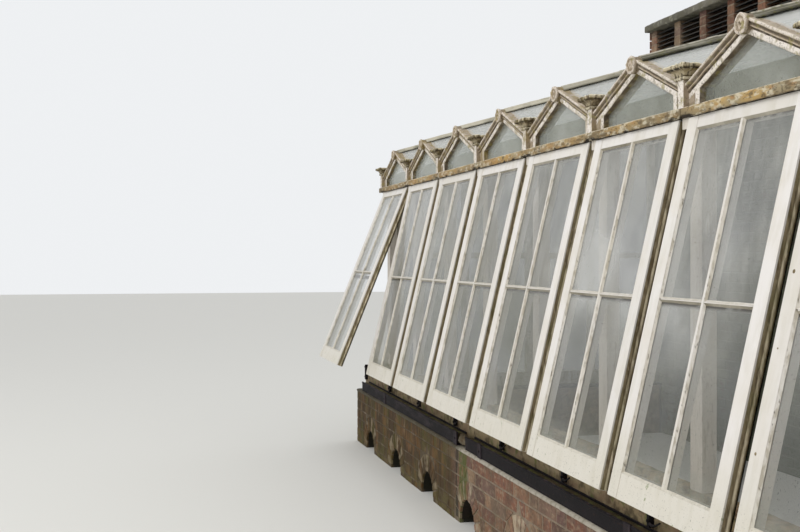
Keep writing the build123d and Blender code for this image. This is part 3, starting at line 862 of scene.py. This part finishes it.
def turnedBosses():
    low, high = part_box("gable_bosses")
    height = (low.z + high.z) / 2 - gable["bossDrop"]
    radius = (high.z - low.z) / 2 * gable["bossSwell"]
    face = low.y - gable["bossProud"]
    # depth from the front and share of the radius, as turned on the lathe, with each band's tone
    turning = [
        (high.y - face, 0.94, 0.3), (0.026, 0.94, 0.35), (0.020, 0.90, 0.25), (0.015, 0.93, 0.55),
        (0.008, 1.0, 0.75), (0.0015, 1.0, 0.85), (0.0, 0.94, 0.8), (0.0, 0.74, 0.65), (0.0025, 0.68, 0.42),
        (0.003, 0.50, 0.6), (0.0015, 0.42, 0.7), (0.0008, 0.22, 0.55), (0.0035, 0.14, 0.2),
        (0.0045, 0.05, 0.15),
    ]
    stock = Stock()
    for centre in bayCentres:
        rings = []
        for depth, share, tone in turning:
            out = radius * share
            rings.append([(centre + out * math.cos(a), face + depth, height + out * math.sin(a))
                          for a in turns(gable["bossSides"])])
        loft(stock, rings, bands=[tone for depth, share, tone in turning])
    roughen(stock, *gable["bossWear"])
    makePiece("turned_bosses", stock, perishedPaint, "weathered_paint", "gable_bosses", smooth=40)


# Valley posts: a raised white strip between the gables, and a crumbling moulded capital on it
valley = {
    "step": 0.020, "wear": (0.0020, 0.025), "sidePoints": 14, "neck": 0.034, "neckFront": -0.018,
    "crumble": (0.0056, 0.018), "crumbleFrom": 0.6, "flute": (0.0044, 0.010),
}


def valleyPosts():
    low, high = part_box("valley_posts")
    half, strip, step = high.x - bayLines[-1], gable["stripHalf"], valley["step"]
    # the flanks and the recessed faces beside the strip are toned darker than its white front, partly as
    # weathered timber and partly as painted shade
    section = [
        (-half, high.y, 0.3), (-half, step, 0.3), (-strip, step, 0.4), (-strip, low.y + 0.001, 0.8),
        (-strip + 0.002, low.y, 1.0), (strip - 0.002, low.y, 0.8), (strip, low.y + 0.001, 0.45),
        (strip, step, 0.4), (half, step, 0.3), (half, high.y, 0.3),
    ]
    stock = Stock()
    for line in bayLines:
        moulding(stock, section, lambda a, b, t: (line + a, b, t), steps(low.z, high.z, 0.02))
    roughen(stock, *valley["wear"])
    makePiece("valley_post_joinery", stock, perishedPaint, "weathered_paint", "valley_posts", smooth=40)


def capitalRing(line, half, front, back, z):
    # a square loop with many points a side, so that its edge can crumble
    count = valley["sidePoints"]
    corners = [(-half, front), (half, front), (half, back), (-half, back)]
    ring = []
    for (x0, y0), (x1, y1) in zip(corners, corners[1:] + corners[:1]):
        ring += [(line + x0 + (x1 - x0) * n / count, y0 + (y1 - y0) * n / count, z) for n in range(count)]
    return ring


def mouldedCapitals():
    low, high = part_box("valley_capitals")
    reach, tall = high.x - bayLines[-1], high.z - low.z
    neck, neckFront = valley["neck"], valley["neckFront"]
    crumble, crumbleSize = valley["crumble"]
    flute, fluteSize = valley["flute"]
    # share of the height, share of the flare, and tone of the band after it; the bands just under
    # the slab are toned near-black as painted shadow
    section = [
        (0.0, 0.02, 0.7), (0.03, 0.12, 0.9), (0.10, 0.17, 0.8), (0.17, 0.12, 0.3), (0.20, 0.02, 0.2),
        (0.28, 0.05, 0.65), (0.40, 0.15, 0.65), (0.52, 0.34, 0.5), (0.60, 0.58, 0.2), (0.64, 0.80, 0.0),
        (0.67, 0.82, 0.0), (0.70, 0.96, 0.4), (0.76, 1.0, 0.7), (0.90, 1.0, 0.9), (0.97, 0.97, 1.0),
        (1.0, 0.9, 1.0),
    ]
    stock = Stock()
    for line in bayLines:
        first = len(stock.points)
        rings = []
        for share, out, tone in section:
            half, front = neck + (reach - neck) * out, neckFront + (low.y - neckFront) * out
            rings.append(capitalRing(line, half, front, high.y, low.z + tall * share))
        loft(stock, rings, bands=[tone for share, out, tone in section])

        def worn(point):
            # rot eats into the top edge most, and the grain stands out in flutes all round
            edge = max(0, (point.z - low.z) / tall - valley["crumbleFrom"]) * 2.2
            crumb = noise.noise_vector(point / crumbleSize) * crumble * (0.35 + edge)
            crumb.z = -abs(crumb.z) * 1.4 if point.z > high.z - 0.006 else crumb.z * 0.5
            hollow = noise.noise(Vector((point.x, point.y, 0)) / fluteSize) * flute
            inward = Vector((line - point.x, -point.y, 0)).normalized()
            moved = point + crumb + inward * hollow
            return Vector((moved.x, min(max(moved.y, low.y - 0.004), high.y), min(moved.z, high.z)))
        reshape(stock, worn, first)
    makePiece("moulded_capitals", stock, mossedSoftwood, "lichened_timber", "valley_capitals", smooth=50)


gableJoinery()
turnedBosses()
valleyPosts()
mouldedCapitals()
print("gables, bosses and capitals made")

# Head rail and sill: long boards jointed at the bay lines
rail = {
    "jointGap": 0.003, "spacing": 0.020, "chamfer": 0.010, "lip": 0.0015, "wear": (0.0010, 0.11),
    "chip": 0.050, "deepestChip": 0.010, "chipSize": 0.05, "chipFrom": 0.30, "chipByPosts": -0.20,
    "postReach": 0.10,
}
sill = {
    "jointGap": 0.005, "spacing": 0.035, "frontHeight": 0.166, "fall": 0.010, "postDepth": 0.060,
    "ease": 0.006, "wear": (0.004, 0.06),
}


def boardRuns(low, high, board):
    # a board to each bay, with an open joint at every bay line between them
    ends, gap = [low.x] + bayLines[1:-1] + [high.x], board["jointGap"] / 2
    return [steps(start + gap, end - gap, board["spacing"]) for start, end in zip(ends, ends[1:])]


def headRail():
    low, high = railLow, railHigh
    chamfer, lip = rail["chamfer"], rail["lip"]
    # the under side and the back are toned near-black as painted shadow
    section = [
        (low.y + 0.014, low.z, 0.0), (low.y + 0.012, low.z - lip, 0.0),
        (low.y + 0.002, low.z - lip, 0.5), (low.y, low.z - lip + 0.003, 1.0),
        (low.y, high.z - 0.002, 1.0), (low.y + 0.002, high.z + lip, 1.0),
        (low.y + 0.5 * chamfer, high.z + lip + 0.002, 1.0), (low.y + chamfer, high.z, 1.0),
        (high.y, high.z, 0.3), (high.y, low.z, 0.0),
    ]
    stock = Stock()
    for number, run in enumerate(boardRuns(low, high, rail)):
        shade = 0.45 + 0.5 * ((number * 3) % 5) / 5
        first = len(stock.marks)
        moulding(stock, [(a, b, tone * shade) for a, b, tone in section], lengthwise, run)
        # a board is most golden at its middle, and darkest at its ends beside the posts
        rows = (len(stock.marks) - first - 2) / len(section)
        for index in range(first, len(stock.marks)):
            tone = stock.marks[index][0]
            along = (index - first - 2) // len(section) / rows
            golden = 0.55 + 0.45 * math.sin(math.pi * min(max(along, 0), 1))
            stock.marks[index] = (tone * golden, 0.0, min(1.0, tone * golden * golden * 1.2))

    def chipped(point):
        # the under edge is ragged, and most of all beside the posts
        if point.y > low.y + 0.005 or point.z > low.z + 0.006:
            return point
        byPost = min(abs(point.x - line) for line in bayLines) < rail["postReach"]
        ragged = noise.noise(Vector((point.x / rail["chipSize"], 7.0, 0)))
        chip = max(0, ragged - rail["chipByPosts" if byPost else "chipFrom"]) * rail["chip"]
        return point + Vector((0, 0, min(chip, rail["deepestChip"])))
    reshape(stock, chipped)
    roughen(stock, *rail["wear"])
    makePiece("head_rail_lichened", stock, lichenedOak, "lichened_timber", "head_rail", smooth=40)


def sillBoards():
    low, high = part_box("front_sill")
    foot, ease = low.z, sill["ease"]
    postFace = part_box("front_posts")[1].y - sill["postDepth"]
    front, back = foot + sill["frontHeight"], foot + sill["frontHeight"] + sill["fall"]
    outline = [
        (low.y, foot), (low.y, front - ease), (low.y + ease, front), (postFace - 0.012, back - 0.001),
        (postFace, back + 0.002), (postFace, high.z - 0.003), (postFace + 0.003, high.z),
        (high.y, high.z), (high.y, foot),
    ]
    stock = Stock()
    for number, run in enumerate(boardRuns(low, high, sill)):
        bar(stock, outline, lengthwise, run, tone=0.2 + 0.7 * ((number * 4) % 7) / 7)
    roughen(stock, *sill["wear"])
    keepAbove(stock, foot)
    makePiece("sill_boards", stock, weatheredSillBoard, "lichened_timber", "front_sill", smooth=40)


headRail()
sillBoards()

# Rainwater gutter: cast-iron box section with socket joints, broken away at one place
gutter = {
    "wall": 0.006, "socket": 0.060, "proud": 0.004, "length": 1.830, "siltBelow": 0.010,
    "breakAt": -0.560, "breakWidth": 0.160, "jag": 0.010, "jagSize": 0.012, "bolt": 0.006,
    "boltProud": 0.004,
}


def gutterRun(stock, start, end, face, back, foot, top):
    wall, proud, socket = gutter["wall"], gutter["proud"], gutter["socket"]
    outline = [
        (back, foot), (face + 0.003, foot), (face, foot + 0.003), (face, top - 0.011),
        (face - 0.003, top - 0.008), (face - 0.0038, top - 0.004), (face - 0.0018, top),
        (face + 0.005, top + 0.001), (face + 0.0075, top - 0.003), (face + wall, foot + wall),
        (back - wall, foot + wall), (back - wall, top), (back, top),
    ]
    bar(stock, outline, lengthwise, steps(start, end, 0.05), tone=0.45)
    # silt lies in the trough, heaped along its middle
    near, far, silt = face + wall - 0.001, back - wall + 0.001, top - gutter["siltBelow"]
    heap = [(near, foot + 0.01), (near, silt), ((face + back) / 2, silt + 0.006), (far, silt),
            (far, foot + 0.01)]
    bar(stock, heap, lengthwise, steps(start + 0.01, end - 0.01, 0.03), bare=1.0)
    collar = [
        (back, foot), (face - proud, foot), (face - proud, top + proud), (face + wall, top + proud),
        (face + wall, top - 0.001), (face + 0.001, top - 0.001), (face + 0.001, foot + 0.003),
        (back, foot + 0.003),
    ]
    bead = [(a - 0.0015 * (a < face), b) for a, b in collar]
    joint = end - socket
    while joint > start:
        bar(stock, collar, lengthwise, [joint, joint + socket], tone=0.8)
        bar(stock, bead, lengthwise, [joint + socket - 0.010, joint + socket + 0.001], tone=1.0)
        middle = (joint + socket / 2, (foot + top) / 2)
        bolt, boltProud = gutter["bolt"], gutter["boltProud"]
        boltHead(stock, middle, face - proud, bolt, boltProud * 0.7, boltProud, 0.2)
        joint -= gutter["length"]


def castGutter():
    low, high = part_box("front_gutter")
    face, back = low.y + gutter["proud"], high.y
    foot, top = low.z, high.z - gutter["proud"]
    stock = Stock()
    broken = [gutter["breakAt"] + side * gutter["breakWidth"] / 2 for side in (-1, 1)]
    gutterRun(stock, low.x, broken[0], face, back, foot, top)
    gutterRun(stock, broken[1], high.x, face, back, foot, top)

    def snapped(point):
        if min(abs(point.x - end) for end in broken) > 0.002:
            return point
        fine = gutter["jagSize"]
        jag = noise.noise(Vector((point.y / fine, point.z / fine, point.x * 40))) * gutter["jag"]
        return point + Vector((jag, 0, 0))
    reshape(stock, snapped)
    makePiece("cast_iron_gutter", stock, blackedCastIron, "gutter_iron", "front_gutter")


# Straps on the sill, each with a bolt and a small hooked arm that once held a sash down
strap = {
    "arm": 0.125, "rise": 0.030, "sag": 0.010, "sagSlope": 0.031, "swing": 0.020, "thick": 0.0055,
    "taper": 0.35, "sides": 8, "ease": 0.003, "bolt": 0.007, "shoulder": 0.004, "boltProud": 0.005,
}


def strapsWithArms():
    low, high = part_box("gutter_straps")
    half = high.x - bayLines[-1]
    stock = Stock()
    for line in bayLines:
        plate = oblong(line - half, line + half, low.z, high.z)
        tablet(stock, plate, upright, high.y, low.y, strap["ease"], tone=0.4)
        for z in (low.z + 0.025, high.z - 0.018):
            boltHead(stock, (line, z), low.y, strap["bolt"], strap["shoulder"], strap["boltProud"], 0.1)
        if line == bayLines[-1]:
            continue
        rings = []
        for t in steps(0, 1, 0.1):
            middle = Vector((
                line + half * 0.5 + strap["arm"] * t,
                low.y + 0.004 - strap["swing"] * math.sin(math.pi / 2 * t),
                low.z + 0.016 - strap["sag"] * math.sin(math.pi * t) + strap["rise"] * t,
            ))
            slope = math.atan2(strap["rise"] - strap["sagSlope"] * math.cos(math.pi * t), strap["arm"])
            thick = strap["thick"] * (1 - strap["taper"] * t)
            rings.append([middle + Vector((-math.sin(slope) * thick * math.sin(a), thick * math.cos(a),
                                           math.cos(slope) * thick * math.sin(a)))
                          for a in turns(strap["sides"])])
        loft(stock, rings, tone=0.3)
    makePiece("straps_and_arms", stock, blackedCastIron, "gutter_iron", "gutter_straps")


# Capping of the dwarf walls, trowelled by hand, with a lump of bedding left in the gutter's gap
capping = {
    "spacing": 0.020, "wear": (0.0018, 0.045), "lump": (0.064, 0.030, 0.052), "lumpLift": 0.020,
    "lumpLeft": 0.012, "crumble": (0.012, 0.022),
}


def cementCapping():
    low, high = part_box("wall_capping")
    stock = Stock()
    outline = [(low.y + 0.002, low.z), (low.y, low.z + 0.008), (low.y + 0.006, high.z - 0.003),
               (low.y + 0.020, high.z), (high.y, high.z), (high.y, low.z)]
    bar(stock, outline, lengthwise, steps(low.x, high.x, capping["spacing"]), tone=0.4)
    ledgeLow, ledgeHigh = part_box("front_gutter")
    wide, deep, tall = capping["lump"]
    along, out = gutter["breakAt"] - capping["lumpLeft"], (ledgeLow.y + ledgeHigh.y) / 2 - 0.004
    rings = []
    for share, swell in ((0, 0.8), (0.25, 1.0), (0.5, 0.95), (0.75, 0.75), (0.9, 0.55), (1.0, 0.3)):
        height = high.z + capping["lumpLift"] + tall * share
        rings.append([(along + wide * swell * math.cos(a), out + deep * swell * math.sin(a), height)
                      for a in turns(16)])
    first = len(stock.points)
    loft(stock, rings, tone=1.0)
    roughen(stock, *capping["crumble"], first)
    roughen(stock, *capping["wear"])
    keepAbove(stock, low.z)
    makePiece("trowelled_capping", stock, trowelledCement, "wall_cement", "wall_capping", smooth=45)
    paintNode("end_cappings", trowelledCement)


castGutter()
strapsWithArms()
cementCapping()
print("rail, sill, gutter and capping made")

# Roof: lead rolls over the ridges, lapped along their length
roof = {
    "flashingHalf": 0.036, "lead": 0.005, "rollHalf": 0.009, "rollRise": 0.010, "glass": 0.004,
    "lapEvery": 0.62, "lapLength": 0.05, "lapThick": 0.002, "lapFlare": 20, "spacing": 0.04,
    "wear": (0.0016, 0.05),
}


def ridgeRolls():
    low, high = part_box("ridge_caps")
    under = roof["glass"] / math.cos(math.radians(gable["rake"]))
    over = under + roof["lead"]
    half, roll = roof["flashingHalf"], roof["rollHalf"]
    crown = roof["rollRise"] - roll + over - roll * rakeSlope
    wing = [(-x, -x * rakeSlope + lift) for x, lift in (
        (half, under), (half, over), (half * 0.6, over), (roll + 0.006, over), (roll - 0.001, over + 0.004))]
    mirrored = [(-x, z) for x, z in reversed(wing)]
    outline = wing + arc((0, crown), roll, 180, 0, 8) + mirrored + [(0, under)]
    # the roll is toned light all round as a painted highlight, the strips beside it dark as grime and
    # painted shade
    tones = [0.0, 0.0, 0.4, 0.2, 0.6] + [1.0] * 8 + [0.6, 0.2, 0.4, 0.0, 0.0, 0.0, 0.0]
    stock = Stock()
    for centre in bayCentres:
        def place(a, b, t, thick=0.0):
            wide = a * (1 + thick * roof["lapFlare"])
            return (centre + wide, t, apexHeight + b + thick + (t - gableFace) * roofRise)
        bar(stock, outline, place, steps(low.y, high.y, roof["spacing"]), tones)
        lap = low.y + roof["lapEvery"] / 2
        while lap < high.y - roof["lapLength"]:
            bar(stock, outline, lambda a, b, t: place(a, b, t, roof["lapThick"]),
                steps(lap, lap + roof["lapLength"], 0.025), tones)
            lap += roof["lapEvery"]
    roughen(stock, *roof["wear"])
    makePiece("lead_ridge_rolls", stock, dressedLead, "ridge_lead", "ridge_caps", smooth=50)


ridgeRolls()

# Timber and hinges that keep the frame's own shape, their arrises eased by a bevel. The
# valleys are painted timber, grey where their lead lining shows.
leadLinedTimber = makeFinish("leadLinedTimber", ["#C6C3B6"], 0.8, [
    coat("#9A967F", 0.09, 0.4, 0.14, 0.6),
    coat("#97948A", up=(0.5, 0.9)),
    coat("#6B6A4C", 0.06, 0.34, 0.1, 0.6, up=(0.4, 0.9)),
], grain=[(0.02, 0.0020)])
arris = 0.002
keptNodes = {"front_posts": postPaint, "sash_hinges": blackedCastIron, "ridge_bars": chalkedPaint,
             "valley_gutters": leadLinedTimber, "end_frame_left": chalkedPaint,
             "end_frame_right": chalkedPaint}
for name, finish in keptNodes.items():
    paintNode(name, finish)
    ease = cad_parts[name].modifiers.new("arris", "BEVEL")
    ease.width = arris
    ease.limit_method = "ANGLE"

# Glass: drawn horticultural sheet, never washed. Nearly clear, under a grey film that is thickest
# and lightest high on the sash, partly as painted reflection, with faint rain streaks and algae specks.
pane = {"glance": 5.0, "rippleSize": 0.25, "rippleDepth": 0.0010, "rough": 0.08, "index": 1.6}


def makeGlass(name, colour, cover, layers):
    # cover is how much a clean pane hides, and each layer's film how much that layer hides
    finish, tree = blankMaterial(name)
    place = addNode(tree, "TexCoord").outputs["Object"]
    colour = hexColour(colour)
    for layer in layers:
        mask = layerMask(tree, place, layer)
        mixed = {0: mask, 6: colour, 7: hexColour(layer["colour"])}
        colour = addNode(tree, "Mix", mixed, data_type="RGBA").outputs[2]
        cover = addNode(tree, "Mix", {0: mask, 2: cover, 3: layer["film"]}).outputs[0]
    # towards grazing the pane turns opaque, so its pale film colour shows there as painted reflection, along
    # with the real gloss
    facing = addNode(tree, "LayerWeight").outputs["Facing"]
    glance = addNode(tree, "Math", {0: facing, 1: pane["glance"]}, operation="POWER").outputs[0]
    cover = addNode(tree, "Mix", {0: glance, 2: cover, 3: 1.0}).outputs[0]
    ripple = spread(tree, place, pane["rippleSize"], (1, 1, 2))
    normal = addNode(tree, "Bump", {"Height": ripple, "Distance": pane["rippleDepth"]}).outputs[0]
    shader = addNode(tree, "BsdfPrincipled", {"Base Color": colour, "Alpha": cover, "Normal": normal,
                                              "Roughness": pane["rough"], "IOR": pane["index"]})
    addNode(tree, "OutputMaterial", {"Surface": shader.outputs[0]})
    return finish


filmedGlass = makeGlass("filmedGlass", "#94958B", 0.11, [
    # lighter and thicker high on the sash: grey film, and painted reflection of the sky
    coat("#B9B9B3", film=0.25, spans=[(2, 0.95, 1.75)]),
    # a pale patch at mid-height: painted reflection of cloud
    coat("#D8D8D4", 0.45, 0.58, 0.14, 0.85, film=0.44, stretch=(1, 1, 1.2),
         spans=[(2, 1.00, 1.35), (2, 1.95, 1.60), (0, 0.55, 1.10)]),
    coat("#7F7F70", 0.35, 0.62, 0.14, 0.8, film=0.26, stretch=(1, 1, 1.4),
         spans=[(0, 0.85, 0.45), (0, -1.95, -1.40)]),
    coat("#A4A6A8", 0.30, 0.42, 0.12, 0.5, film=0.16),
    coat("#CFCEC8", 0.030, 0.34, 0.14, 0.35, film=0.45, stretch=(1, 1, 12), spans=[(2, 1.25, 1.55)]),
    coat("#989788", 0.07, 0.7, 0.2, film=0.50, spans=[(2, 0.84, 0.73)]),
    # a thin dark line just under the transom: painted shadow
    coat("#3E372A", 0.030, 0.86, 0.1, film=0.85, stretch=(3, 1, 1),
         spans=[(2, 1.340, 1.353), (2, 1.372, 1.368)]),
    # a thin dark line just under the top rail: painted shadow
    coat("#4A4234", 0.014, 0.50, 0.08, 0.8, film=0.70, stretch=(3, 1, 1), spans=[(2, 1.974, 1.982)]),
    coat("#50553C", 0.008, 0.06, 0.03, 0.7, film=0.70),
])
gableSheet = makeGlass("gableSheet", "#B4BAB0", 0.14, [
    coat("#D2D5CD", 0.16, 0.42, 0.14, 0.6, film=0.30, stretch=(1, 1, 1.5)),
    coat("#4C5340", 0.010, 0.12, 0.04, 0.7, film=0.70),
])
endSheet = makeGlass("endSheet", "#6C7064", 0.52, [
    coat("#565C48", 0.30, 0.45, 0.15, 0.8, film=0.70),
    coat("#8F9186", 0.030, 0.3, 0.1, 0.5, film=0.60, stretch=(1, 1, 12)),
    coat("#4C5340", 0.012, 0.12, 0.04, 0.7, film=0.75),
])
skylightGlass = makeGlass("skylightGlass", "#DCDDD9", 0.24, [
    coat("#E0E1DD", 0.50, 0.6, 0.3, film=0.32),
    coat("#E6E6E1", 0.04, 0.30, 0.14, 0.4, film=0.40, stretch=(1, 9, 1)),
    coat("#878C66", 0.02, 0.08, 0.05, 0.5, film=0.60),
])
glazing = {"sash_glass": filmedGlass, "end_glass": endSheet, "gable_glass": gableSheet,
           "roof_glass": skylightGlass}
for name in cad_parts:
    for start, finish in glazing.items():
        if name.startswith(start):
            paintNode(name, finish)
print("roof and glass finished")

# Studio: pale floor, soft light, and a camera where the photograph was taken from
studio = {
    "floorHalf": 40, "floor": "#D9D7D1", "sky": "#F4F6F8", "skyStrength": 0.95,
    "keyPlace": (3.0, -7.0, 9.0), "keyAim": (0.0, 0.5, 1.2), "keySize": 6.0, "keyWatts": 420,
}
camera = {"place": (5.5165, -2.0384, 1.5265), "turn": 13.76, "lens": 50.0, "sensor": 36.0,
          "frame": (800, 532), "horizon": 255.4}

floorMesh = bpy.data.meshes.new("floor")
reach = studio["floorHalf"]
corners = [(a, b, 0) for a, b in oblong(-reach, reach, -reach, reach)]
floorMesh.from_pydata(corners, [], [(0, 1, 2, 3)])
floor = addObject("floor", floorMesh)
floorMesh.materials.append(makeFinish("paleScreed", [studio["floor"]], 0.9))

world = bpy.data.worlds.new("overcast")
bpy.context.scene.world = world
world.use_nodes = True
sky = world.node_tree.nodes["Background"]
sky.inputs[0].default_value = hexColour(studio["sky"])
sky.inputs[1].default_value = studio["skyStrength"]

key = bpy.data.lights.new("softbox", "AREA")
key.size = studio["keySize"]
key.energy = studio["keyWatts"]
lamp = addObject("softbox", key)
lamp.location = studio["keyPlace"]
lamp.rotation_euler = (Vector(studio["keyAim"]) - lamp.location).to_track_quat("-Z", "Y").to_euler()

lens = bpy.data.cameras.new("camera")
lens.lens = camera["lens"]
lens.sensor_width = camera["sensor"]
lens.shift_y = (camera["horizon"] - camera["frame"][1] / 2) / camera["frame"][0]
viewer = addObject("camera", lens)
viewer.location = camera["place"]
viewer.rotation_euler = (math.pi / 2, 0, math.radians(90 - camera["turn"]))
bpy.context.scene.camera = viewer
bpy.context.scene.view_settings.view_transform = "Standard"
print("studio lit")
